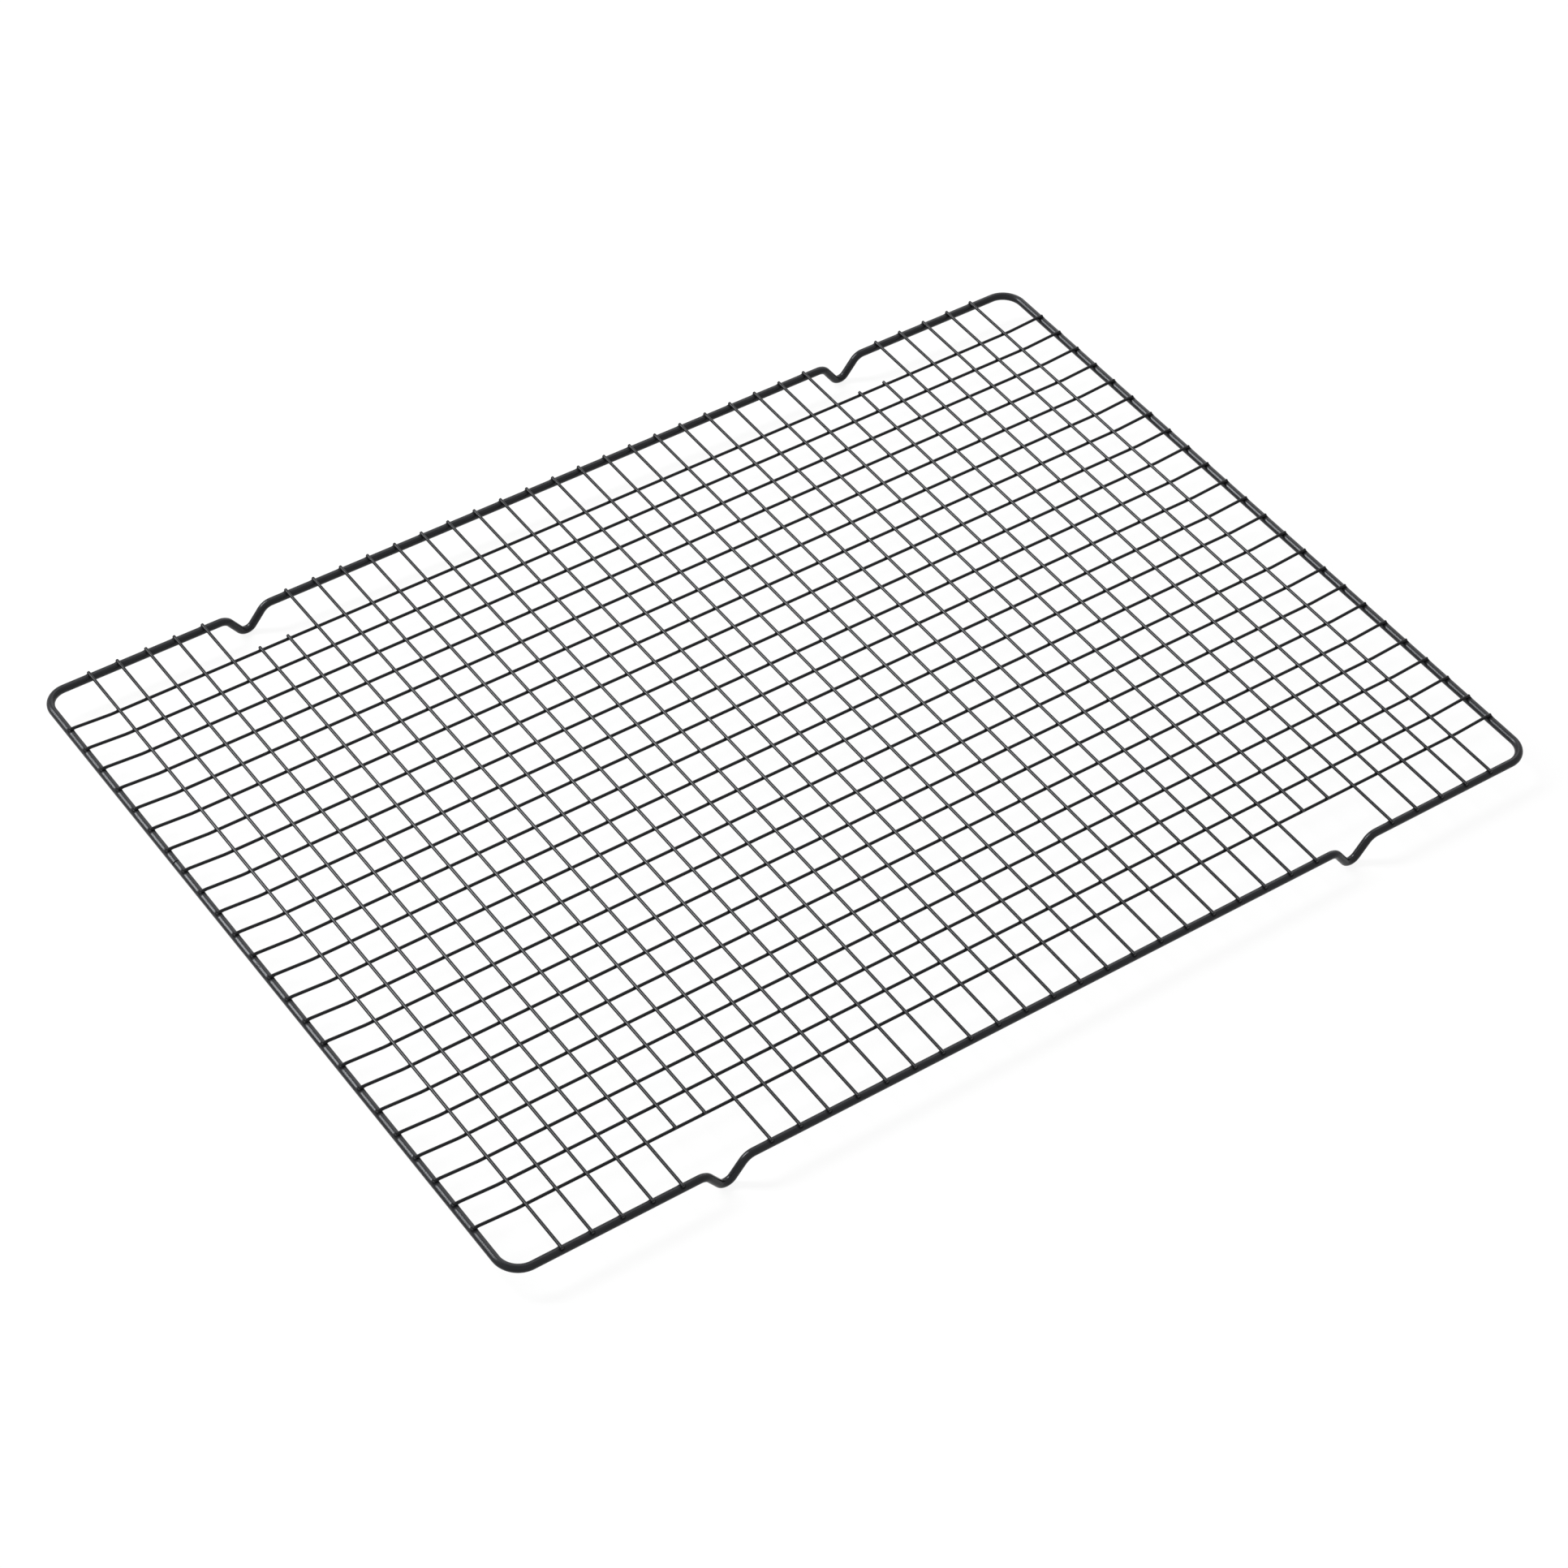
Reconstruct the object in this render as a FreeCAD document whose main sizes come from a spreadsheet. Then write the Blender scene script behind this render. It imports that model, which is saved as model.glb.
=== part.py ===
import FreeCAD, Part

import math
import os

import Sketcher

# A wire cooling rack: one thick frame wire, bent into a rounded rectangle whose long sides dip
# to form four feet, and a mesh of thin wires welded on top of it.
#
# X runs along the rack's length, Y across it and Z up. The origin is the middle of the rack, on
# the surface that the feet stand on. "Long" wires run along X and "cross" wires along Y.

os.makedirs("parts", exist_ok=True)

doc = FreeCAD.newDocument("cooling_rack")

# ---------------------------------------------------------------------------------------------
# Driving dimensions, in millimetres, degrees and counts
# ---------------------------------------------------------------------------------------------

DIMENSIONS = [
    ("frame_length", 460.0, "outside length of the frame"),
    ("frame_width", 330.0, "outside width of the frame"),
    ("frame_wire", 3.2, "diameter of the frame wire"),
    ("corner_bend", 9.0, "bend radius of the frame's corners, to the wire's axis"),
    ("mesh_wire", 1.25, "diameter of every mesh wire"),
    ("cross_count", 35, "cross wires, short ones included"),
    ("long_count", 24, "long wires"),
    ("end_gap", 20.15, "from the axis of a short side to the nearest cross wire's axis"),
    ("side_gap", 22.525, "from the axis of a long side to the nearest long wire's axis"),
    ("set_down", 0.15, "how deep a wire sinks into the one that it is welded onto"),
    ("cross_overhang", 1.0, "length of a cross wire past the axis of the long side"),
    ("short_overhang", 0.9, "length of a short cross wire past the axis of the last long wire"),
    ("long_overhang", 0.4, "length of a long wire past the axis of the short side"),
    ("step_start", 3.0, "from the last cross wire to where a long wire begins to rise"),
    ("step_landing", 1.5, "from the axis of the short side to where a long wire is level again"),
    ("step_bend", 12.0, "bend radius of a long wire's step"),
    ("foot_bay", 6, "cross wires between the end of the mesh and the middle of a foot"),
    ("foot_drop", 9.0, "from the frame's axis down to the axis of a foot's tip"),
    ("foot_flank", 53.0, "slope of a foot's flanks, in degrees"),
    ("foot_shoulder", 5.5, "bend radius where a flank leaves the frame"),
    ("foot_tip", 3.6, "bend radius of a foot's tip"),
]

size = doc.addObject("Spreadsheet::Sheet", "size")
for row, (alias, number, meaning) in enumerate(DIMENSIONS, start=1):
    size.set(f"A{row}", meaning)
    size.set(f"B{row}", str(number))
    size.setAlias(f"B{row}", alias)
doc.recompute()

# Sizes and places that follow from the driving ones. Each is an expression, used in the objects
# as it stands, and reach() gives its value for the first guess of a sketch's geometry.

HALF_LENGTH = "(size.frame_length - size.frame_wire) / 2"
HALF_WIDTH = "(size.frame_width - size.frame_wire) / 2"
FRAME_HEIGHT = "(size.foot_drop + size.frame_wire / 2)"
CROSS_HEIGHT = f"({FRAME_HEIGHT} + (size.frame_wire + size.mesh_wire) / 2 - size.set_down)"
LONG_HEIGHT = f"({CROSS_HEIGHT} - size.mesh_wire + size.set_down)"
CROSS_SPACING = f"(2 * ({HALF_LENGTH} - size.end_gap) / (size.cross_count - 1))"
LONG_SPACING = f"(2 * ({HALF_WIDTH} - size.side_gap) / (size.long_count - 1))"
FOOT_PLACE = f"({HALF_LENGTH} - size.end_gap - (size.foot_bay - 0.5) * {CROSS_SPACING})"
CORNER_START = f"({HALF_LENGTH} - size.corner_bend)"
CORNER_FINISH = f"({HALF_WIDTH} - size.corner_bend)"


def reach(expression):
    """The number that an expression on the sheet's cells gives."""
    return float(size.evalExpression(expression))


# ---------------------------------------------------------------------------------------------
# Sketch helpers
# ---------------------------------------------------------------------------------------------

def plane_of(body, role):
    """One of a body's own origin planes, such as its XZ_Plane."""
    return next(feature for feature in body.Origin.OriginFeatures if feature.Role == role)


def new_sketch(body, name, role, lift):
    """An empty sketch on an origin plane, lifted off it along its normal by an expression."""
    sketch = body.newObject("Sketcher::SketchObject", name)
    sketch.AttachmentSupport = [(plane_of(body, role), "")]
    sketch.MapMode = "FlatFace"
    sketch.setExpression("AttachmentOffset.Base.z", lift)
    return sketch


def hold(sketch, name, constraint, expression):
    """Adds a dimension to a sketch and binds it to an expression."""
    index = sketch.addConstraint(constraint)
    sketch.renameConstraint(index, name)
    sketch.setExpression(f"Constraints.{name}", expression)


def fix_point(sketch, name, piece, end, across, up):
    """Holds a point of a sketch at a distance across and up from the sketch's origin."""
    spot = sketch.getPoint(piece, end)
    hold(sketch, name + "_across", Sketcher.Constraint("DistanceX", -1, 1, piece, end, spot.x), across)
    hold(sketch, name + "_up", Sketcher.Constraint("DistanceY", -1, 1, piece, end, spot.y), up)


def line(start, finish):
    return Part.LineSegment(FreeCAD.Vector(*start, 0), FreeCAD.Vector(*finish, 0))


def arc(centre, radius, start, finish):
    """An arc, anticlockwise from one angle to another, in degrees."""
    circle = Part.Circle(FreeCAD.Vector(*centre, 0), FreeCAD.Vector(0, 0, 1), radius)
    return Part.ArcOfCircle(circle, math.radians(start), math.radians(finish))


def add_run(sketch, pieces):
    """Adds lines and arcs that follow each other, and makes each tangent to the next."""
    sketch.addGeometry(pieces, False)
    corners = [(1, 1), (1, 2), (2, 1), (2, 2)]
    for before in range(len(pieces) - 1):
        after = before + 1
        gaps = {pair: sketch.getPoint(before, pair[0]).distanceToPoint(sketch.getPoint(after, pair[1]))
                for pair in corners}
        near, far = min(gaps, key=gaps.get)
        sketch.addConstraint(Sketcher.Constraint("Tangent", before, near, after, far))


def wire_section(body, name, diameter, along, across, up):
    """A wire's round section, on a plane that faces along X."""
    sketch = new_sketch(body, name, "YZ_Plane", along)
    centre = FreeCAD.Vector(reach(across), reach(up), 0)
    sketch.addGeometry(Part.Circle(centre, FreeCAD.Vector(0, 0, 1), reach(diameter) / 2), False)
    fix_point(sketch, "centre", 0, 3, across, up)
    hold(sketch, "diameter", Sketcher.Constraint("Diameter", 0, reach(diameter)), diameter)
    return sketch


def bend_wire(body, name, section, path):
    """A wire, as its section carried along its path."""
    pipe = body.newObject("PartDesign::AdditivePipe", name)
    pipe.Profile = section
    pipe.Spine = (path, [])
    return pipe


# ---------------------------------------------------------------------------------------------
# Cross wires: straight, in the mesh's upper layer
# ---------------------------------------------------------------------------------------------

def cross_wire(number, label, half_span):
    """One straight wire along Y; wires are numbered from the end at low X."""
    wire = doc.addObject("Part::Cylinder", label)
    wire.Label = label
    wire.setExpression("Radius", "size.mesh_wire / 2")
    wire.setExpression("Height", f"2 * {half_span}")
    wire.Placement = FreeCAD.Placement(FreeCAD.Vector(), FreeCAD.Rotation(FreeCAD.Vector(1, 0, 0), -90))
    wire.setExpression("Placement.Base.x", f"({number} - (size.cross_count + 1) / 2) * {CROSS_SPACING}")
    wire.setExpression("Placement.Base.y", f"-{half_span}")
    wire.setExpression("Placement.Base.z", CROSS_HEIGHT)
    return wire


cross_count = int(reach("size.cross_count"))
foot_bay = int(reach("size.foot_bay"))
over_a_foot = {foot_bay, foot_bay + 1, cross_count - foot_bay, cross_count - foot_bay + 1}

full_cross_wires = []
short_cross_wires = []
for number in range(1, cross_count + 1):
    if number in over_a_foot:
        half_span = f"({HALF_WIDTH} - size.side_gap + size.short_overhang)"
        short_cross_wires.append(cross_wire(number, f"short_cross_wire_{number:02d}", half_span))
    else:
        half_span = f"({HALF_WIDTH} + size.cross_overhang)"
        full_cross_wires.append(cross_wire(number, f"cross_wire_{number:02d}", half_span))

# ---------------------------------------------------------------------------------------------
# Long wires: the mesh's lower layer, stepping up at both ends onto the frame's short sides
# ---------------------------------------------------------------------------------------------

def step_slope(run, rise, bend):
    """Slope, in degrees, of the straight between two equal bends that turn opposite ways."""
    across = math.hypot(run, 2 * bend - rise)
    return math.degrees(math.asin(2 * bend / across) - math.atan2(2 * bend - rise, run))


def step_path(body):
    """Half of a long wire's axis: level, up through the step, and level again over the frame."""
    knee = reach(f"{HALF_LENGTH} - size.end_gap + size.step_start")
    landing = reach(f"{HALF_LENGTH} - size.step_landing")
    finish = reach(f"{HALF_LENGTH} + size.long_overhang")
    low = reach(LONG_HEIGHT)
    high = reach(CROSS_HEIGHT)
    bend = reach("size.step_bend")
    slope = step_slope(landing - knee, high - low, bend)
    away = bend * math.sin(math.radians(slope))
    climb = bend * (1 - math.cos(math.radians(slope)))
    sketch = new_sketch(body, "step_path", "XZ_Plane", "0")
    add_run(sketch, [
        line((0, low), (knee, low)),
        arc((knee, low + bend), bend, -90, slope - 90),
        line((knee + away, low + climb), (landing - away, high - climb)),
        arc((landing, high - bend), bend, 90, 90 + slope),
        line((landing, high), (finish, high)),
    ])
    fix_point(sketch, "start", 0, 1, "0", LONG_HEIGHT)
    fix_point(sketch, "finish", 4, 2, f"{HALF_LENGTH} + size.long_overhang", CROSS_HEIGHT)
    sketch.addConstraint(Sketcher.Constraint("Horizontal", 0))
    sketch.addConstraint(Sketcher.Constraint("Horizontal", 4))
    sketch.addConstraint(Sketcher.Constraint("Equal", 1, 3))
    hold(sketch, "bend", Sketcher.Constraint("Radius", 1, bend), "size.step_bend")
    hold(sketch, "knee", Sketcher.Constraint("DistanceX", -1, 1, 1, 3, knee),
         f"{HALF_LENGTH} - size.end_gap + size.step_start")
    hold(sketch, "landing", Sketcher.Constraint("DistanceX", -1, 1, 3, 3, landing),
         f"{HALF_LENGTH} - size.step_landing")
    return sketch


def long_wire_blank():
    """A bent long wire on the rack's centre line, before any welding."""
    body = doc.addObject("PartDesign::Body", "long_wire_blank")
    section = wire_section(body, "long_section", "size.mesh_wire", "0", "0", LONG_HEIGHT)
    half = bend_wire(body, "half_long_wire", section, step_path(body))
    doc.recompute()
    whole = body.newObject("PartDesign::Mirrored", "whole_long_wire")
    whole.Originals = [half]
    whole.MirrorPlane = (plane_of(body, "YZ_Plane"), [""])
    body.Tip = whole
    doc.recompute()
    return body


def long_wires():
    """The long wires: one wire notched by the cross wires that are welded down into it, repeated."""
    cross_wires = doc.addObject("Part::Compound", "all_cross_wires")
    cross_wires.Links = full_cross_wires + short_cross_wires
    notched = doc.addObject("Part::Cut", "notched_long_wire")
    notched.Base = long_wire_blank()
    notched.Tool = cross_wires
    doc.recompute()
    wires = []
    for number in range(1, int(reach("size.long_count")) + 1):
        label = f"long_wire_{number:02d}"
        wire = doc.addObject("App::Link", label)
        wire.Label = label
        wire.setLink(notched)
        wire.setExpression("Placement.Base.y", f"({number} - (size.long_count + 1) / 2) * {LONG_SPACING}")
        wires.append(wire)
    return wires


# ---------------------------------------------------------------------------------------------
# Frame wire: one closed loop, built as a quarter and mirrored twice
# ---------------------------------------------------------------------------------------------

def side_path(body):
    """The frame's axis along half of a long side, through its foot, to where the corner begins."""
    foot = reach(FOOT_PLACE)
    drop = reach("size.foot_drop")
    flank = reach("size.foot_flank")
    shoulder = reach("size.foot_shoulder")
    tip = reach("size.foot_tip")
    turn = math.radians(flank)
    straight = (drop - (shoulder + tip) * (1 - math.cos(turn))) / math.sin(turn)
    half_foot = (shoulder + tip) * math.sin(turn) + straight * math.cos(turn)
    shoulder_end = (half_foot - shoulder * math.sin(turn), -shoulder * (1 - math.cos(turn)))
    tip_start = (tip * math.sin(turn), tip * (1 - math.cos(turn)) - drop)
    sketch = new_sketch(body, "side_path", "XZ_Plane", HALF_WIDTH)
    base = reach(FRAME_HEIGHT)
    add_run(sketch, [
        line((0, base), (foot - half_foot, base)),
        arc((foot - half_foot, base - shoulder), shoulder, 90 - flank, 90),
        line((foot - shoulder_end[0], base + shoulder_end[1]), (foot - tip_start[0], base + tip_start[1])),
        arc((foot, base - drop + tip), tip, 270 - flank, 270 + flank),
        line((foot + tip_start[0], base + tip_start[1]), (foot + shoulder_end[0], base + shoulder_end[1])),
        arc((foot + half_foot, base - shoulder), shoulder, 90, 90 + flank),
        line((foot + half_foot, base), (reach(CORNER_START), base)),
    ])
    fix_point(sketch, "start", 0, 1, "0", FRAME_HEIGHT)
    fix_point(sketch, "finish", 6, 2, CORNER_START, FRAME_HEIGHT)
    sketch.addConstraint(Sketcher.Constraint("Horizontal", 0))
    sketch.addConstraint(Sketcher.Constraint("Horizontal", 6))
    sketch.addConstraint(Sketcher.Constraint("Equal", 1, 5))
    hold(sketch, "shoulder", Sketcher.Constraint("Radius", 1, shoulder), "size.foot_shoulder")
    hold(sketch, "tip", Sketcher.Constraint("Radius", 3, tip), "size.foot_tip")
    fix_point(sketch, "tip_centre", 3, 3, FOOT_PLACE, f"{FRAME_HEIGHT} - size.foot_drop + size.foot_tip")
    hold(sketch, "down_flank", Sketcher.Constraint("Angle", 2, -turn), "-size.foot_flank * 1 deg")
    hold(sketch, "up_flank", Sketcher.Constraint("Angle", 4, turn), "size.foot_flank * 1 deg")
    return sketch


def end_path(body):
    """The frame's axis round one corner and along half of the short side."""
    bend = reach("size.corner_bend")
    corner = (reach(CORNER_START), -reach(CORNER_FINISH))
    sketch = new_sketch(body, "end_path", "XY_Plane", FRAME_HEIGHT)
    add_run(sketch, [
        arc(corner, bend, -90, 0),
        line((corner[0] + bend, corner[1]), (corner[0] + bend, 0)),
    ])
    fix_point(sketch, "corner", 0, 3, CORNER_START, f"-{CORNER_FINISH}")
    fix_point(sketch, "finish", 1, 2, HALF_LENGTH, "0")
    sketch.addConstraint(Sketcher.Constraint("Vertical", 1))
    hold(sketch, "bend_start", Sketcher.Constraint("DistanceX", -1, 1, 0, 1, corner[0]), CORNER_START)
    return sketch


def frame_loop():
    """The whole frame wire, before the mesh is welded onto it."""
    body = doc.addObject("PartDesign::Body", "frame_loop")
    side_section = wire_section(body, "side_section", "size.frame_wire", "0",
                                f"-{HALF_WIDTH}", FRAME_HEIGHT)
    end_section = wire_section(body, "end_section", "size.frame_wire", CORNER_START,
                               f"-{HALF_WIDTH}", FRAME_HEIGHT)
    side = bend_wire(body, "half_side", side_section, side_path(body))
    doc.recompute()
    end = bend_wire(body, "corner_and_half_end", end_section, end_path(body))
    doc.recompute()
    loop = body.newObject("PartDesign::MultiTransform", "loop")
    loop.Originals = [side, end]
    mirrors = []
    for name, role in (("left_half", "YZ_Plane"), ("back_half", "XZ_Plane")):
        mirror = body.newObject("PartDesign::Mirrored", name)
        mirror.MirrorPlane = (plane_of(body, role), [""])
        mirrors.append(mirror)
    loop.Transformations = mirrors
    body.Tip = loop
    doc.recompute()
    return body


def frame_wire(mesh_wires):
    """The frame wire, notched wherever a mesh wire is welded down into it."""
    mesh = doc.addObject("Part::Compound", "mesh_on_frame")
    mesh.Links = mesh_wires
    wire = doc.addObject("Part::Cut", "frame_wire")
    wire.Label = "frame_wire"
    wire.Base = frame_loop()
    wire.Tool = mesh
    doc.recompute()
    return wire


# ---------------------------------------------------------------------------------------------
# Checks and export
# ---------------------------------------------------------------------------------------------

long_wire_set = long_wires()
pieces = [frame_wire(full_cross_wires + long_wire_set)]
pieces += long_wire_set + full_cross_wires + short_cross_wires

for thing in doc.Objects:
    if "Invalid" in thing.State or "Error" in thing.State:
        raise RuntimeError(f"{thing.Label} did not build")
for piece in pieces:
    if piece.Shape.isNull() or not piece.Shape.isValid() or len(piece.Shape.Solids) != 1:
        raise RuntimeError(f"{piece.Label} is not one sound solid")

for piece in pieces:
    piece.Shape.exportStep(f"parts/{piece.Label}.step")

print(len(pieces), "pieces; mesh spacing", round(reach(CROSS_SPACING), 3), round(reach(LONG_SPACING), 3))
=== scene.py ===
# %% [markdown]
# A wire cooling rack
# ===================
# The rack is sixty pieces of coated steel wire: one thick frame wire bent into a rounded
# rectangle, and a mesh of thin wires that is resistance-welded on top of it. There is nothing
# else to it, so the whole lesson is about making wire well: a true round section carried along a
# true path, ends that were cut, crossings that were melted together, and a baked-on coating.
#
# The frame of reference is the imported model: X along the rack, Y across it, Z up, in metres.

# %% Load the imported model
import math

import bpy
import numpy as np
from mathutils import Matrix, Vector


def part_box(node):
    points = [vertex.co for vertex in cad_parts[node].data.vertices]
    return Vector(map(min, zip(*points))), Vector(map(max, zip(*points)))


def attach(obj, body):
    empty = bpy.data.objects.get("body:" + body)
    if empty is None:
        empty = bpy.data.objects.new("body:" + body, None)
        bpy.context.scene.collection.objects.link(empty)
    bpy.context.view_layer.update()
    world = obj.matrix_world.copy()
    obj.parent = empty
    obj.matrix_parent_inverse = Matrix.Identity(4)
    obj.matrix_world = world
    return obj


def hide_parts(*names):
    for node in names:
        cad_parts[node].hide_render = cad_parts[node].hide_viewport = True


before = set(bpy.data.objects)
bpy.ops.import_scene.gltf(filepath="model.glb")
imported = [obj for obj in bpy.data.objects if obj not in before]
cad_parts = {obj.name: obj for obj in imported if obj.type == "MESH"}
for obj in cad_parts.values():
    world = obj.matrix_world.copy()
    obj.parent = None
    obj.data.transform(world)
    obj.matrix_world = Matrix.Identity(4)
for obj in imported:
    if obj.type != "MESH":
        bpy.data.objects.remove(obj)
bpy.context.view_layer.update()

# %% [markdown]
# Reading places from the model
# -----------------------------
# Each wire could be drawn from a list of numbers, but then a change of pitch in the model would
# leave the drawn mesh behind. Every wire's place is therefore taken from the box of its own node.
# Only what a box can't tell is named here: diameters and bend radii.

# %% Sizes of the wires and their bends
MM = 0.001
FRAME_RADIUS = 1.6 * MM       # half the frame wire's diameter
MESH_RADIUS = 0.625 * MM      # half a mesh wire's diameter
CORNER_BEND = 9.0 * MM        # bend radii are measured to the wire's axis
FOOT_SHOULDER = 5.5 * MM
FOOT_TIP = 3.6 * MM
FOOT_FLANK = math.radians(53.0)
STEP_BEND = 12.0 * MM         # bends of the small step at each end of a long wire
STEP_START = 3.0 * MM         # from the outermost cross wire to where the step begins
STEP_LANDING = 1.5 * MM       # from the short side's axis to where the wire is level again

node_names = sorted(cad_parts)
cross_names = [name for name in node_names if "cross_wire" in name]
long_names = [name for name in node_names if name.startswith("long_wire")]
cross_names.sort(key=lambda name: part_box(name)[0][0])
long_names.sort(key=lambda name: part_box(name)[0][1])

cross_boxes = np.array([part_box(name) for name in cross_names])
long_boxes = np.array([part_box(name) for name in long_names])
frame_box = np.array(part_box("frame_wire"))

cross_x = cross_boxes[:, :, 0].mean(axis=1)
cross_half_span = cross_boxes[:, 1, 1]
cross_z = float(cross_boxes[0, :, 2].mean())
long_y = long_boxes[:, :, 1].mean(axis=1)
long_tip_x = float(long_boxes[0, 1, 0])
long_half_span = np.full(len(long_names), long_tip_x)
long_z = float(long_boxes[0, 0, 2]) + MESH_RADIUS

frame_half_x = float(frame_box[1, 0]) - FRAME_RADIUS
frame_half_y = float(frame_box[1, 1]) - FRAME_RADIUS
frame_z = float(frame_box[1, 2]) - FRAME_RADIUS
foot_drop = frame_z - FRAME_RADIUS - float(frame_box[0, 2])
is_full = cross_half_span > frame_half_y
foot_x = float(np.abs(cross_x[~is_full]).mean())

print(len(cross_names), "cross wires,", int((~is_full).sum()), "of them short, and",
      len(long_names), "long wires")
print("feet at x = +/-", round(foot_x / MM, 3), "mm, dropping", round(foot_drop / MM, 2), "mm")

# %% [markdown]
# A path is a walk
# ----------------
# A wire is bent on a machine that feeds a length, then turns it through an angle on a radius.
# Bezier curves could follow the same line, but their arcs are only nearly round and their
# points land anywhere. Here a path is written as the bender's own program: a list of moves, each
# a length and the angle it turns through. Between the ends of the moves, heading grows evenly
# with length, so the direction at any number of stations comes from one interpolation.
#
# Stations a short way apart on an arc are joined by a chord. A chord points along the mean of
# its two headings, and it is shorter than its arc by sin(half turn) / (half turn), so adding the
# chords up gives points that lie exactly on the arc.

# %% Walking a bender's program
def straight(length):
    """A move with no turn: (length, turn in plan, turn in elevation)."""
    return (length, 0.0, 0.0)


def plan_bend(radius, angle):
    """A move that turns left in plan through an angle, on a radius."""
    return (radius * abs(angle), angle, 0.0)


def height_bend(radius, angle):
    """A move that turns upwards through an angle, on a radius."""
    return (radius * abs(angle), 0.0, angle)


def walk(start, heading, moves, stations):
    """Points and directions at given lengths along a path.

    Heading and pitch are linear in length between the ends of the moves. Each point is the sum
    of the chords before it: chord = length between stations x sin(t/2)/(t/2), where t is the
    turn between them, along the mean heading and pitch.
    """
    moves = np.array(moves)
    knots = np.concatenate([[0.0], np.cumsum(moves[:, 0])])
    headings = heading + np.concatenate([[0.0], np.cumsum(moves[:, 1])])
    pitches = np.concatenate([[0.0], np.cumsum(moves[:, 2])])
    along = np.unique(np.clip(np.concatenate([knots, stations]), 0.0, knots[-1]).round(9))
    yaw = np.interp(along, knots, headings)
    pitch = np.interp(along, knots, pitches)

    def direction(yaw_angle, pitch_angle):
        return np.stack([np.cos(pitch_angle) * np.cos(yaw_angle),
                         np.cos(pitch_angle) * np.sin(yaw_angle),
                         np.sin(pitch_angle)], axis=1)

    turn = np.abs(np.diff(yaw)) + np.abs(np.diff(pitch))
    chord = np.diff(along) * np.sinc(turn / (2.0 * np.pi))
    middle = direction((yaw[1:] + yaw[:-1]) / 2.0, (pitch[1:] + pitch[:-1]) / 2.0)
    steps = np.vstack([np.zeros(3), chord[:, None] * middle])
    points = np.array(start) + np.cumsum(steps, axis=0)
    outward = np.stack([np.sin(yaw), -np.cos(yaw), np.zeros_like(yaw)], axis=1)
    return along, points, direction(yaw, pitch), outward


def even_stations(moves, longest, sharpest):
    """Lengths at which to stop: no step longer than longest, no turn greater than sharpest."""
    lengths = [move[0] for move in moves]
    turns = [abs(move[1]) + abs(move[2]) for move in moves]
    counts = [max(1, math.ceil(length / longest), math.ceil(turn / sharpest))
              for length, turn in zip(lengths, turns)]
    starts = np.concatenate([[0.0], np.cumsum(lengths)[:-1]])
    return np.concatenate([start + length * np.arange(count + 1) / count
                           for start, length, count in zip(starts, lengths, counts)])


# %% [markdown]
# Where wires melt together
# -------------------------
# At each crossing the two wires are squeezed and heated until they sink into each other, and the
# coating that is baked on afterwards flows into the corner between them. Two plain cylinders
# that pass through each other show a hard crease there, which reads as a drawing, not as metal.
#
# The corner is filled with a smooth union. Where the skin of one wire comes within a small reach
# of the other wire, it is pushed out by reach/4 x (1 - distance/reach) squared. Both skins are
# pushed by the same amount at equal distance, so they meet in one soft hollow. Only where a thin
# wire lies on the frame does it take half the push, or it would swell to a knuckle there.

# %% A fillet as an outward push
FRAME_FILLET = 1.25 * MM      # reach of the hollow between a mesh wire and the frame
MESH_FILLET = 0.75 * MM       # and between two mesh wires
THIN_SHARE = 0.5              # a mesh wire's share of the push where it lies on the frame


def distance_to_bar(points, across, height, radius, run, run_ends):
    """Distance from points to the nearest of several straight bars.

    A bar runs along one axis. With (a, z) the offset across it and p the overshoot past its
    ends, the distance is sqrt(a^2 + z^2 + p^2) - radius, and the least over the bars is kept.
    """
    sideways, forwards = (0, 1) if run == "y" else (1, 0)
    shape = points.shape[:-1]
    flat = points.reshape(-1, 3)
    order = np.argsort(across)
    middles = (across[order][1:] + across[order][:-1]) / 2.0
    nearest = order[np.searchsorted(middles, flat[:, sideways])]
    aside = flat[:, sideways] - across[nearest]
    above = flat[:, 2] - height
    past = np.maximum(np.abs(flat[:, forwards]) - run_ends[nearest], 0.0)
    return (np.sqrt(aside ** 2 + above ** 2 + past ** 2) - radius).reshape(shape)


def fillet_push(distance, reach):
    """Smooth-union push: reach/4 x h^2, where h falls from 1 at contact to 0 at the reach."""
    h = np.clip(1.0 - np.abs(distance) / reach, 0.0, 1.0)
    return reach / 4.0 * h ** 2


def weld_closeness(distance, reach):
    """How near the skin is to a weld: 1 at contact, falling to 0 at the reach."""
    return np.clip(1.0 - distance / reach, 0.0, 1.0)


def cluster(centres, half_width, count):
    """Stations bunched round each centre, closest together at the middle."""
    spread = np.linspace(-1.0, 1.0, count)
    offsets = half_width * np.sign(spread) * np.abs(spread) ** 1.25
    return (np.asarray(centres)[:, None] + offsets[None, :]).ravel()


# %% [markdown]
# The skin of a wire
# ------------------
# A tube is a function of two parameters: length along the path, and angle round it. The rings
# are laid out as one array of shape (stations, angles, 3), pushed out by the fillet, and handed
# to the mesh at once. Beside the surface itself, each vertex keeps two things for the coating's
# material: a skin coordinate that runs round and along the wire without a seam, so drawing marks
# can follow it, and how close it is to a weld, where the coating gets its painted shade.
#
# A wire's ends are cut off square and tumbled, so the last rings follow a small quarter round
# and a flat face closes them.

# %% Rings to mesh
END_ROUND = 0.16 * MM         # the broken edge of a cut end
SKIN_OFFSET = 977.0           # in wire radii: each wire's streaks start this much further on


def ring_angles(around):
    """Evenly spaced angles round a section; the last one stops short of the first."""
    return np.arange(around) * 2.0 * np.pi / around


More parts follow.
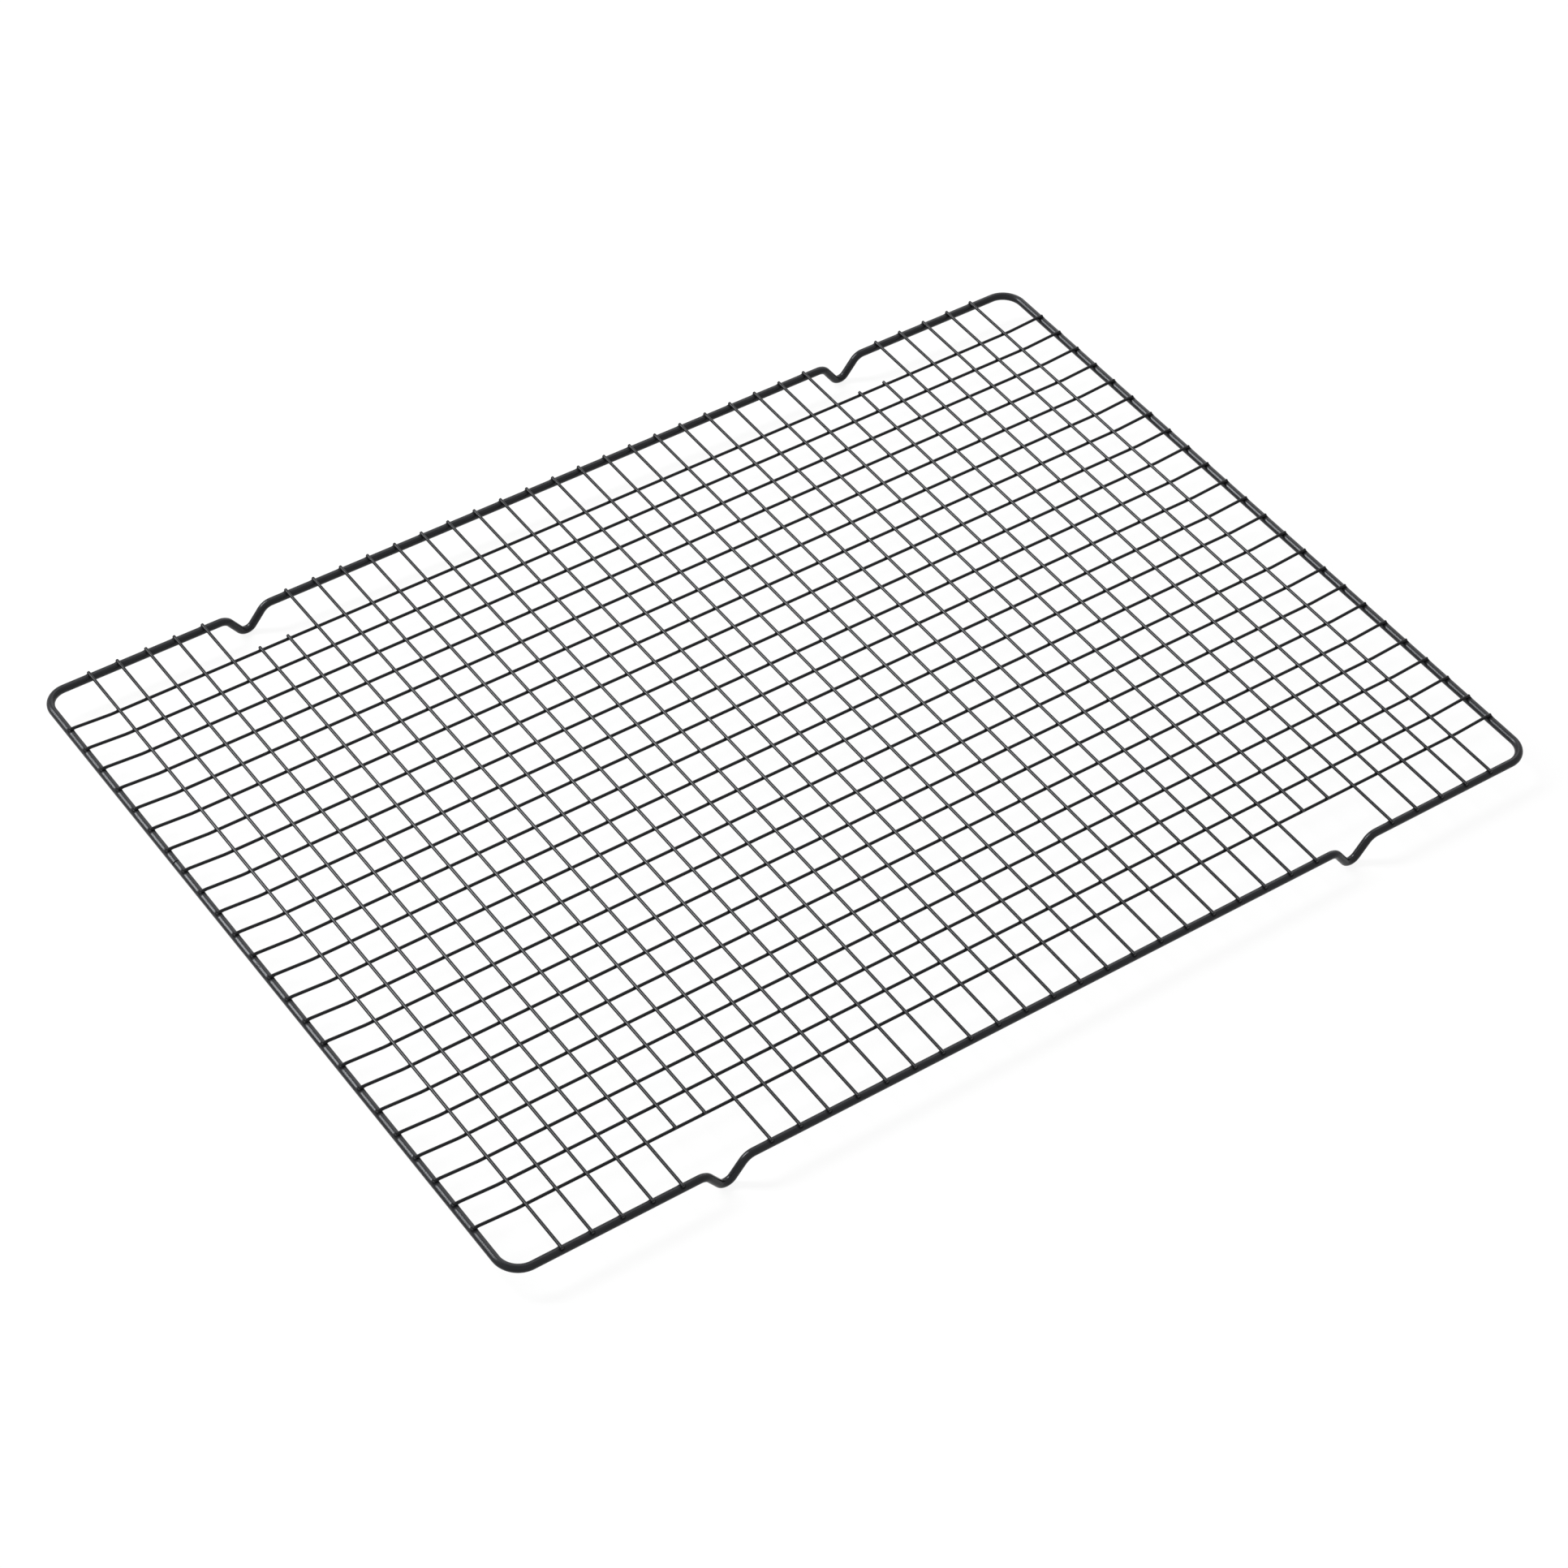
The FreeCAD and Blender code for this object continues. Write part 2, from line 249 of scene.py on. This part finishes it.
def ring_points(points, outward, upward, radii, angles):
    """Rings: centre + radius x (cos(angle) x outward + sin(angle) x upward)."""
    normal = (np.cos(angles)[None, :, None] * outward[:, None, :]
              + np.sin(angles)[None, :, None] * upward[:, None, :])
    return points[:, None, :] + radii[:, None, None] * normal, normal


def make_tube(name, rings, skin, weld, closed):
    """A mesh object from rings of points: quads between rings, a flat face on each open end."""
    count, around, _ = rings.shape
    index = np.arange(count * around).reshape(count, around)
    rows = index if closed else index[:-1]
    next_rows = np.roll(index, -1, axis=0) if closed else index[1:]
    quads = np.stack([rows, np.roll(rows, -1, axis=1), np.roll(next_rows, -1, axis=1), next_rows],
                     axis=-1).reshape(-1, 4)
    faces = quads.tolist()
    if not closed:
        faces += [index[0, ::-1].tolist(), index[-1].tolist()]
    mesh = bpy.data.meshes.new(name)
    mesh.from_pydata(rings.reshape(-1, 3), [], faces)
    mesh.attributes.new("skin", "FLOAT_VECTOR", "POINT").data.foreach_set("vector", skin.ravel())
    # The weld attribute is closeness to a weld, which the coating turns into painted shade and a
    # duller film.
    mesh.attributes.new("weld", "FLOAT", "POINT").data.foreach_set("value", weld.ravel())
    flat_ends = len(faces) - len(quads)
    mesh.polygons.foreach_set("use_smooth", [True] * len(quads) + [False] * flat_ends)
    mesh.validate()
    mesh.update()
    piece = bpy.data.objects.new(name, mesh)
    bpy.context.scene.collection.objects.link(piece)
    return piece


def end_radii(along, radius):
    """Radius at each station: r - e + sqrt(e^2 - (e - u)^2) within e of an end, at distance u."""
    from_end = np.minimum(along, along[-1] - along)
    short = np.clip(END_ROUND - from_end, 0.0, END_ROUND)
    return radius - END_ROUND + np.sqrt(np.maximum(END_ROUND ** 2 - short ** 2, 0.0))


def end_stations(length):
    """Stations that follow the quarter round at both ends of a wire."""
    quarter = np.linspace(0.0, math.pi / 2.0, 4)
    inset = END_ROUND * (1.0 - np.cos(quarter))
    return np.concatenate([inset, length - inset])


def skin_coordinate(along, angles, radius, seed):
    """(cos, sin, length) in wire radii: continuous round the wire, and different on each wire."""
    shape = (len(along), len(angles))
    skin = np.empty(shape + (3,))
    skin[..., 0] = np.cos(angles)[None, :]
    skin[..., 1] = np.sin(angles)[None, :]
    skin[..., 2] = (along / radius)[:, None] + SKIN_OFFSET * seed
    return skin


# %% [markdown]
# The frame wire
# --------------
# One length of thick wire makes the whole frame. The bender starts on the left short side, where
# the two ends are later butt-welded, and turns four corners and four V-shaped feet. A foot is a
# shoulder bend down, a straight flank, a tight tip and the same again upwards.
#
# The seam where the ends were welded stays faintly visible as a fine line round the wire.

# %% The bender's program for the frame
def foot_moves():
    """Down a flank, round the tip and up again; the flank's length makes the stated drop."""
    fall = (FOOT_SHOULDER + FOOT_TIP) * (1.0 - math.cos(FOOT_FLANK))
    flank = (foot_drop - fall) / math.sin(FOOT_FLANK)
    half_width = (FOOT_SHOULDER + FOOT_TIP) * math.sin(FOOT_FLANK) + flank * math.cos(FOOT_FLANK)
    moves = [height_bend(FOOT_SHOULDER, -FOOT_FLANK), straight(flank),
             height_bend(FOOT_TIP, 2.0 * FOOT_FLANK), straight(flank),
             height_bend(FOOT_SHOULDER, -FOOT_FLANK)]
    return moves, half_width


foot, foot_half_width = foot_moves()
corner = [plan_bend(CORNER_BEND, math.pi / 2.0)]
half_end = [straight(frame_half_y - CORNER_BEND)]
side_run = frame_half_x - CORNER_BEND - foot_x - foot_half_width
middle_run = 2.0 * (foot_x - foot_half_width)
side = [straight(side_run)] + foot + [straight(middle_run)] + foot + [straight(side_run)]
frame_moves = (half_end + corner + side + corner + half_end
               + half_end + corner + side + corner + half_end)
frame_length = sum(move[0] for move in frame_moves)
print("the frame takes", round(frame_length, 4), "m of wire; a foot is",
      round(2.0 * foot_half_width / MM, 2), "mm wide")

# %% The frame's skin
FRAME_AROUND = 36
WELD_STATIONS = (2.3 * MM, 15)         # reach and number of the rings bunched round a weld
SEAM_STATIONS = (1.2 * MM, 25)
SEAM_Y = float(long_y[-8:-6].mean())   # the butt weld, midway between two long wires
SEAM_DEPTH = 0.11 * MM
SEAM_WIDTH = 0.15 * MM
SEAM_MARK = 2.2 * SEAM_WIDTH  # the coating's dark line over the seam is wider than the groove
FRAME_WELD_SHADE_REACH = 1.1 * MM         # how far from a weld along the frame the shade is painted in and the film is duller


def stations_at(along, points, places, axis):
    """Lengths along a path at which one coordinate of it passes each of several places.

    Only the stretches that run within sixty degrees of that axis count.
    """
    values = points[:, axis]
    runs_along = np.abs(np.diff(values)) > 0.5 * np.diff(along)
    found = []
    for place in places:
        before = np.flatnonzero(runs_along & ((values[:-1] - place) * (values[1:] - place) <= 0.0))
        share = (place - values[before]) / (values[before + 1] - values[before])
        found.append(along[before] + share * np.diff(along)[before])
    return np.concatenate(found)


def build_frame():
    """The frame wire: a round section carried round the closed path, filleted at each weld."""
    start = (-frame_half_x, 0.0, frame_z)
    heading = -math.pi / 2.0
    rough_stops = even_stations(frame_moves, longest=4 * MM, sharpest=math.radians(5))
    rough_along, rough_points, _, _ = walk(start, heading, frame_moves, rough_stops)
    # The seam's place is passed on both short sides; only the left one has the seam.
    stops = np.concatenate([
        even_stations(frame_moves, longest=3 * MM, sharpest=math.radians(3.5)),
        cluster(stations_at(rough_along, rough_points, cross_x[is_full], 0), *WELD_STATIONS),
        cluster(stations_at(rough_along, rough_points, long_y, 1), *WELD_STATIONS),
        cluster(stations_at(rough_along, rough_points, [SEAM_Y], 1), *SEAM_STATIONS),
    ])
    # The path ends where it starts, so the last station repeats the first and is dropped.
    along, points, ahead, outward = (column[:-1] for column in
                                     walk(start, heading, frame_moves, stops))
    upward = np.cross(outward, ahead)
    angles = ring_angles(FRAME_AROUND)
    radii = np.full(len(along), FRAME_RADIUS)
    on_left = points[:, 0] < -frame_half_x + MM
    radii -= on_left * SEAM_DEPTH * np.exp(-((points[:, 1] - SEAM_Y) / SEAM_WIDTH) ** 2)
    rings, normal = ring_points(points, outward, upward, radii, angles)
    to_cross = distance_to_bar(rings, cross_x, cross_z, MESH_RADIUS, "y", cross_half_span)
    to_long = distance_to_bar(rings, long_y, cross_z, MESH_RADIUS, "x", long_half_span)
    to_wire = np.minimum(to_cross, to_long)
    rings = rings + normal * fillet_push(to_wire, FRAME_FILLET)[..., None]
    seam_mark = (on_left * np.exp(-((points[:, 1] - SEAM_Y) / SEAM_MARK) ** 2))[:, None]
    # Closeness to a weld: the coating paints shade there, and on the left side this also holds the
    # darker line over the seam.
    weld = np.maximum(weld_closeness(to_wire, FRAME_WELD_SHADE_REACH), seam_mark)
    skin = skin_coordinate(along, angles, FRAME_RADIUS, 0)
    piece = make_tube("frame_skin", rings, skin, weld, closed=True)
    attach(piece, "root")
    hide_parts("frame_wire")
    return piece


frame_piece = build_frame()
print("frame:", len(frame_piece.data.polygons), "faces")

# %% [markdown]
# The cross wires
# ---------------
# Thirty-five straight wires run across the rack and make the surface that the baking rests on.
# Four of them stop short at the outermost long wires, which leaves a clear bay above each foot.
# A straight wire needs only two rings, but its crossings need more, so the stations bunch up
# round each long wire and each side of the frame.

# %% Straight wires, filleted at their crossings
MESH_AROUND = 16
CROSSING_STATIONS = (1.5 * MM, 9)
MESH_WELD_SHADE_REACH = 0.9 * MM          # how far from a weld along a mesh wire the shade is painted in and the film is duller


def distance_to_frame_tube(points):
    """Distance to the frame's level sides: to the nearest side's axis, less the wire's radius."""
    above = points[..., 2] - frame_z
    side_gap = np.abs(np.abs(points[..., 1]) - frame_half_y)
    end_gap = np.abs(np.abs(points[..., 0]) - frame_half_x)
    return np.sqrt(np.minimum(side_gap, end_gap) ** 2 + above ** 2) - FRAME_RADIUS


def finish_wire(name, node, along, points, ahead, outward, to_others, seed):
    """Rings for one mesh wire, pushed out by its fillets, and set in place of its node."""
    upward = np.cross(outward, ahead)
    angles = ring_angles(MESH_AROUND)
    rings, normal = ring_points(points, outward, upward, end_radii(along, MESH_RADIUS), angles)
    to_mesh, to_frame = to_others(rings)
    push = fillet_push(to_mesh, MESH_FILLET) + THIN_SHARE * fillet_push(to_frame, FRAME_FILLET)
    rings = rings + normal * push[..., None]
    # Closeness to a weld: the coating paints shade there, beside each crossing and where the wire
    # lies on the frame.
    weld = np.maximum(weld_closeness(to_mesh, MESH_WELD_SHADE_REACH), weld_closeness(to_frame, MESH_WELD_SHADE_REACH))
    skin = skin_coordinate(along, angles, MESH_RADIUS, seed)
    piece = make_tube(name, rings, skin, weld, closed=False)
    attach(piece, "root")
    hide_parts(node)
    return piece


def build_cross_wire(number):
    """One cross wire: a straight walk along +Y."""
    half = float(cross_half_span[number])
    moves = [straight(2.0 * half)]
    crossings = np.concatenate([long_y, [-frame_half_y, frame_half_y]]) + half
    stops = np.concatenate([cluster(crossings, *CROSSING_STATIONS), end_stations(2.0 * half)])
    start = (float(cross_x[number]), -half, cross_z)
    along, points, ahead, outward = walk(start, math.pi / 2.0, moves, stops)

    def to_others(rings):
        return (distance_to_bar(rings, long_y, long_z, MESH_RADIUS, "x", long_half_span),
                distance_to_frame_tube(rings))

    node = cross_names[number]
    return finish_wire(node + "_skin", node, along, points, ahead, outward, to_others, 1 + number)


cross_pieces = [build_cross_wire(number) for number in range(len(cross_names))]
print("cross wires:", sum(len(piece.data.polygons) for piece in cross_pieces), "faces")

# %% [markdown]
# The long wires
# --------------
# Twenty-four long wires lie under the cross wires. The frame's short sides carry them at the
# upper level, so each end steps up by a little less than a wire's diameter, in the space between
# the last cross wire and the frame. The step is an S: a bend up, a short straight, a bend level.

# %% The step and the long wires
def step_angle(run, rise, bend):
    """Slope of the straight that touches two equal, opposite bends a run and a rise apart.

    With d the distance from (run, 2 x bend - rise) to the origin, the slope is
    arcsin(2 x bend / d) less the angle of that point.
    """
    span = math.hypot(run, 2.0 * bend - rise)
    return math.asin(2.0 * bend / span) - math.atan2(2.0 * bend - rise, run)


step_rise = cross_z - long_z
knee_x = float(cross_x[-1]) + STEP_START
landing_x = frame_half_x - STEP_LANDING
slope = step_angle(landing_x - knee_x, step_rise, STEP_BEND)
bend_run = STEP_BEND * math.sin(slope)
slope_length = (landing_x - knee_x - 2.0 * bend_run) / math.cos(slope)
step_down = [straight(long_tip_x - landing_x), height_bend(STEP_BEND, -slope),
             straight(slope_length), height_bend(STEP_BEND, slope)]
step_up = [height_bend(STEP_BEND, slope), straight(slope_length),
           height_bend(STEP_BEND, -slope), straight(long_tip_x - landing_x)]
long_moves = step_down + [straight(2.0 * knee_x)] + step_up
long_length = sum(move[0] for move in long_moves)
print("each long wire rises", round(step_rise / MM, 2), "mm on a slope of",
      round(math.degrees(slope), 2), "degrees")


def build_long_wire(number):
    """One long wire: down the step, level under the mesh, and up the other step."""
    start = (-long_tip_x, float(long_y[number]), cross_z)
    shift = long_length / 2.0
    crossings = np.concatenate([cross_x, [-frame_half_x, frame_half_x]]) + shift
    stops = np.concatenate([cluster(crossings, *CROSSING_STATIONS), end_stations(long_length),
                            even_stations(long_moves, longest=0.5, sharpest=math.radians(1.0))])
    along, points, ahead, outward = walk(start, 0.0, long_moves, stops)

    def to_others(rings):
        return (distance_to_bar(rings, cross_x, cross_z, MESH_RADIUS, "y", cross_half_span),
                distance_to_frame_tube(rings))

    node = long_names[number]
    seed = 1 + len(cross_names) + number
    return finish_wire(node + "_skin", node, along, points, ahead, outward, to_others, seed)


long_pieces = [build_long_wire(number) for number in range(len(long_names))]
print("long wires:", sum(len(piece.data.polygons) for piece in long_pieces), "faces")

# %% [markdown]
# The coating
# -----------
# The steel is covered by a thin dark non-stick coating, sprayed on and baked. It is nearly
# black, it has the soft shine of satin, and it isn't perfect: the wire's drawing lines show
# through as fine streaks along it, and the film has a faint orange-peel texture. Beside each
# weld the film is duller, and shade is painted in: the colour darkens and the shine drops.
#
# A flat colour would lose all of that. The streaks come from noise that is stretched along the
# skin coordinate, the orange peel from a fine noise in object space, and the painted shade and
# duller film beside the welds from each vertex's closeness to a weld.

# %% Node helpers
def add_node(tree, kind, **settings):
    """A new node, with its properties set by name."""
    made = tree.nodes.new(kind)
    for name, value in settings.items():
        setattr(made, name, value)
    return made


def noise(tree, vector, scale, detail=2.0, roughness=0.5):
    """A noise texture's grey output, read at a vector."""
    texture = add_node(tree, "ShaderNodeTexNoise")
    texture.inputs["Scale"].default_value = scale
    texture.inputs["Detail"].default_value = detail
    texture.inputs["Roughness"].default_value = roughness
    tree.links.new(vector, texture.inputs["Vector"])
    return texture.outputs["Fac"]


def remap(tree, value, low, high, to_low, to_high):
    """A value carried from one range to another, clamped."""
    ranged = add_node(tree, "ShaderNodeMapRange")
    tree.links.new(value, ranged.inputs["Value"])
    sockets = ("From Min", "From Max", "To Min", "To Max")
    for socket, number in zip(sockets, (low, high, to_low, to_high)):
        ranged.inputs[socket].default_value = number
    return ranged.outputs["Result"]


def combine(tree, operation, first, second):
    """Two values put together by a math operation; the second may be a plain number."""
    math_node = add_node(tree, "ShaderNodeMath", operation=operation)
    tree.links.new(first, math_node.inputs[0])
    if isinstance(second, (int, float)):
        math_node.inputs[1].default_value = second
    else:
        tree.links.new(second, math_node.inputs[1])
    return math_node.outputs[0]


def seen_by_camera(tree):
    """1 for a ray from the camera or from a mirror or lens that it looks at, 0 for any other."""
    path = add_node(tree, "ShaderNodeLightPath")
    seen = combine(tree, "MAXIMUM", path.outputs["Is Camera Ray"], path.outputs["Is Glossy Ray"])
    return combine(tree, "MAXIMUM", seen, path.outputs["Is Transmission Ray"])


# %% Satin non-stick coating
STREAK_SCALE = 3.6                    # in wire radii, round and along the wire
STREAK_STRETCH = (1.0, 1.0, 0.025)    # drawing marks are forty times as long as they are wide
CLOUD_SCALE = 0.3                     # slow changes of the film's tone
PEEL_SCALE = 2200.0                   # orange peel of about half a millimetre, in object space


def coating(name, base, shine, satin, relief_depth, tint):
    """A dark satin film over drawn wire, duller beside a weld, with shade painted in there.

    The tone runs from the first base colour to the second by streaks x clouds x (1 - weld), so it
    falls to the darker colour beside a weld as painted shade. Shine is a pair too: on the open
    film, and beside a weld, where the lower value paints shade over the highlight. The relief is
    0.6 x streaks + 0.4 x peel, times its depth. The grey of a noise lies mostly between 0.3 and
    0.7.
    """
    material = bpy.data.materials.new(name)
    material.use_nodes = True
    tree = material.node_tree
    shader = tree.nodes["Principled BSDF"]
    shader.inputs["Metallic"].default_value = 0.0
    shader.inputs["Specular Tint"].default_value = (*tint, 1.0)

    skin = add_node(tree, "ShaderNodeAttribute", attribute_name="skin").outputs["Vector"]
    # Closeness to a weld: painted shade as a darker colour and lower shine, and a rougher film.
    weld = add_node(tree, "ShaderNodeAttribute", attribute_name="weld").outputs["Fac"]
    place = add_node(tree, "ShaderNodeTexCoord").outputs["Object"]

    stretch = add_node(tree, "ShaderNodeMapping")
    stretch.inputs["Scale"].default_value = STREAK_STRETCH
    tree.links.new(skin, stretch.inputs["Vector"])
    streaks = noise(tree, stretch.outputs["Vector"], STREAK_SCALE, 4.0, 0.6)
    clouds = noise(tree, skin, CLOUD_SCALE)
    peel = noise(tree, place, PEEL_SCALE)

    shade = add_node(tree, "ShaderNodeMix", data_type="RGBA")
    low, high = base
    shade.inputs["A"].default_value = (*low, 1.0)
    shade.inputs["B"].default_value = (*high, 1.0)
    mottled = combine(tree, "MULTIPLY", remap(tree, streaks, 0.3, 0.7, 0.35, 1.0),
                      remap(tree, clouds, 0.3, 0.7, 0.6, 1.0))
    # Beside a weld the tone falls to the darker base colour: painted shade.
    away_from_weld_shade = remap(tree, weld, 0.1, 0.8, 1.0, 0.0)
    tree.links.new(combine(tree, "MULTIPLY", mottled, away_from_weld_shade), shade.inputs["Factor"])
    tree.links.new(shade.outputs["Result"], shader.inputs["Base Color"])

    # Beside a weld the shine falls to its second value: painted shade over the highlight.
    tree.links.new(remap(tree, weld, 0.2, 0.75, *shine), shader.inputs["Specular IOR Level"])
    film_roughness = remap(tree, streaks, 0.25, 0.75, satin - 0.05, satin + 0.08)
    pooled = remap(tree, weld, 0.2, 0.8, 0.0, 0.10)
    tree.links.new(combine(tree, "ADD", film_roughness, pooled), shader.inputs["Roughness"])

    relief = combine(tree, "ADD", combine(tree, "MULTIPLY", streaks, 0.6),
                     combine(tree, "MULTIPLY", peel, 0.4))
    bump = add_node(tree, "ShaderNodeBump")
    bump.inputs["Strength"].default_value = 1.0
    bump.inputs["Distance"].default_value = relief_depth
    tree.links.new(relief, bump.inputs["Height"])
    tree.links.new(bump.outputs["Normal"], shader.inputs["Normal"])
    return material


# A filled, matt film reflects less than a clear one, so its shine is well under a half.
# The second shine of each pair, beside a weld, is painted shade over the highlight.
frame_coating = coating("frame_coating", base=((0.002, 0.002, 0.0025), (0.014, 0.014, 0.016)),
                        shine=(0.22, 0.07), satin=0.26, relief_depth=0.045 * MM,
                        tint=(0.92, 0.955, 1.0))
mesh_coating = coating("mesh_coating", base=((0.002, 0.002, 0.0025), (0.008, 0.008, 0.0095)),
                       shine=(0.16, 0.10), satin=0.16, relief_depth=0.003 * MM,
                       tint=(0.95, 0.975, 1.0))
frame_piece.data.materials.append(frame_coating)
for piece in cross_pieces + long_pieces:
    piece.data.materials.append(mesh_coating)
print("coatings:", frame_coating.name, mesh_coating.name)

# %% [markdown]
# Floor and light
# ---------------
# The rack is shown on a plain white floor. The floor is a pale sheet with no edge in view. What
# the camera sees of it is lifted towards plain white, which keeps a soft shadow but no grey cast.

# %% The floor
FLOOR_REACH = 6.0             # metres from the middle to each edge
FLOOR_LIFT = 0.9              # share of plain white in what the camera sees


def white_floor():
    """A wide white sheet; rays from the camera see it part lit and part plain white."""
    mesh = bpy.data.meshes.new("floor")
    corners = [(side * FLOOR_REACH, end * FLOOR_REACH, 0.0)
               for side, end in ((-1, -1), (1, -1), (1, 1), (-1, 1))]
    mesh.from_pydata(corners, [], [(0, 1, 2, 3)])
    floor = bpy.data.objects.new("floor", mesh)
    bpy.context.scene.collection.objects.link(floor)
    material = bpy.data.materials.new("white_sheet")
    material.use_nodes = True
    tree = material.node_tree
    shader = tree.nodes["Principled BSDF"]
    shader.inputs["Base Color"].default_value = (0.9, 0.9, 0.9, 1.0)
    shader.inputs["Roughness"].default_value = 1.0
    shader.inputs["Specular IOR Level"].default_value = 0.0
    glow = add_node(tree, "ShaderNodeEmission")
    glow.inputs["Strength"].default_value = 1.0
    blend = add_node(tree, "ShaderNodeMixShader")
    lifted = combine(tree, "MULTIPLY", seen_by_camera(tree), FLOOR_LIFT)
    tree.links.new(lifted, blend.inputs["Fac"])
    tree.links.new(shader.outputs["BSDF"], blend.inputs[1])
    tree.links.new(glow.outputs["Emission"], blend.inputs[2])
    tree.links.new(blend.outputs["Shader"], tree.nodes["Material Output"].inputs["Surface"])
    mesh.materials.append(material)


white_floor()

# %% [markdown]
# A wire shows its light as a line, and the line is the lamp seen in a very narrow mirror. Seen
# along a direction v, a wire that runs along Y mirrors whatever lies on the cone round Y that
# passes through v turned about. The key is a long box lying along that cone, so every wire across
# the rack has a bright crown, while the wires along the rack mirror other things and stay
# dark. A dimmer, broader box on the far side gives the crowns a shoulder.

# %% Lamps and surroundings
def soft_box(name, ring_angle, rise, distance, sizes, power):
    """A rectangular lamp on a cone round Y, its long side along the cone.

    The direction is (cos b sin a, sin b, cos b cos a), for an angle a round Y from straight
    up and a rise b towards +Y. The long side is along the derivative with respect to a.
    """
    turn, lift = math.radians(ring_angle), math.radians(rise)
    level = math.cos(lift)
    away = Vector((level * math.sin(turn), math.sin(lift), level * math.cos(turn)))
    along = Vector((math.cos(turn), 0.0, -math.sin(turn)))
    lamp = bpy.data.lights.new(name, "AREA")
    lamp.shape = "RECTANGLE"
    lamp.size, lamp.size_y = sizes
    lamp.energy = power
    holder = bpy.data.objects.new(name, lamp)
    facing = Matrix((along, away.cross(along), away)).transposed().to_4x4()
    holder.matrix_world = Matrix.Translation(away * distance) @ facing
    bpy.context.scene.collection.objects.link(holder)


soft_box("key", -36.0, 34.6, 2.2, (1.35, 0.52), 60.0)
soft_box("fill", 40.0, 34.0, 2.6, (3.0, 1.3), 19.0)

WORLD_LIGHT = 0.5             # strength with which the surroundings light the rack
WORLD_SEEN = 1.0              # and with which the camera and its reflections see them

world = bpy.data.worlds.new("studio")
bpy.context.scene.world = world
world.use_nodes = True
background = world.node_tree.nodes["Background"]
background.inputs["Color"].default_value = (1.0, 1.0, 1.0, 1.0)
strength = remap(world.node_tree, seen_by_camera(world.node_tree), 0.0, 1.0,
                 WORLD_LIGHT, WORLD_SEEN)
world.node_tree.links.new(strength, background.inputs["Strength"])

# %% [markdown]
# The camera
# ----------
# A long lens looks down on the rack from in front of its left corner, at about forty-five
# degrees, leaning a little to one side.

# %% Camera
AIM = Vector((-0.01915, -0.02423, frame_z))
CAMERA_DISTANCE = 1.58332
CAMERA_AZIMUTH = math.radians(-37.623)
CAMERA_ELEVATION = math.radians(45.420)
CAMERA_LEAN = math.radians(3.604)
LENS = 97.616


def aim_camera():
    """A camera on a sphere round the aim point, turned about its own axis by the lean."""
    away = Vector((math.sin(CAMERA_AZIMUTH) * math.cos(CAMERA_ELEVATION),
                   -math.cos(CAMERA_AZIMUTH) * math.cos(CAMERA_ELEVATION),
                   math.sin(CAMERA_ELEVATION)))
    data = bpy.data.cameras.new("camera")
    data.lens = LENS
    data.sensor_width = 36.0
    camera = bpy.data.objects.new("camera", data)
    turn = away.to_track_quat("Z", "Y").to_matrix().to_4x4() @ Matrix.Rotation(CAMERA_LEAN, 4, "Z")
    camera.matrix_world = Matrix.Translation(AIM + away * CAMERA_DISTANCE) @ turn
    bpy.context.scene.collection.objects.link(camera)
    bpy.context.scene.camera = camera
    return camera


camera = aim_camera()
bpy.context.scene.view_settings.view_transform = "Standard"
print("camera at", [round(value, 3) for value in camera.matrix_world.translation])
